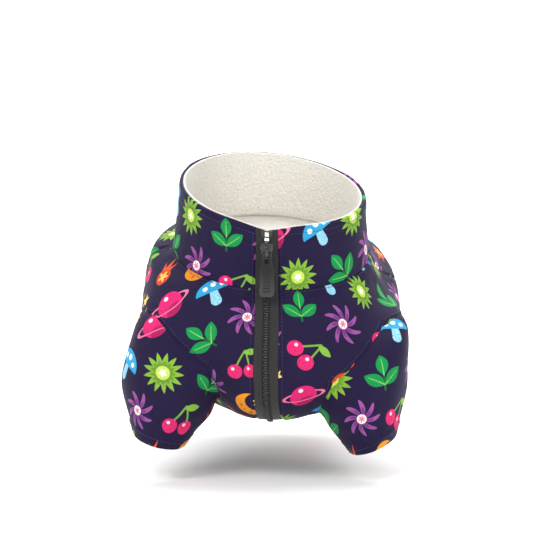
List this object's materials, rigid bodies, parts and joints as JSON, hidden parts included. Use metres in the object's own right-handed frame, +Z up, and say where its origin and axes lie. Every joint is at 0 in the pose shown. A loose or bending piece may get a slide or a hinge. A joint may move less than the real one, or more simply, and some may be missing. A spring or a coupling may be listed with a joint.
{
  "type": "dog jacket",
  "caption": "Zip-up jacket for a small dog, with a tall lined stand-up collar, short front sleeves and a printed shell, in its worn form.",
  "frame": {"origin": "the back of the neck seam, where the jacket sits on the wearer's withers", "axes": "+Y from the chest back along the body, +X to the right in the front view, +Z up"},
  "size_m": [0.2177, 0.3736, 0.2232],
  "materials": {
    "printed_cloth": "matte, printed",
    "plush_lining": "short white pile",
    "zip_tape": "woven, matte",
    "zip_plastic": "glossy"
  },
  "bodies": {
    "jacket": {"collar": "printed_cloth", "collar_lining": "plush_lining", "front_left": "printed_cloth", "front_right": "printed_cloth", "back": "printed_cloth", "sleeve_left": "printed_cloth", "sleeve_right": "printed_cloth", "zip_tape_left": "zip_tape", "zip_tape_right": "zip_tape", "zip_chain": "zip_plastic", "zip_slider": "zip_plastic", "top_stop_left": "zip_plastic", "top_stop_right": "zip_plastic", "bottom_stop": "zip_plastic"},
    "pull": {"zip_pull": "zip_plastic"}
  },
  "joints": [
    {"name": "pull_hinge", "type": "hinge", "parent": "jacket", "child": "pull", "pos_m": [-0.00093, -0.13578, -0.02199], "axis": [-1, 0, 0], "range_deg": [-6, 160]}
  ]
}
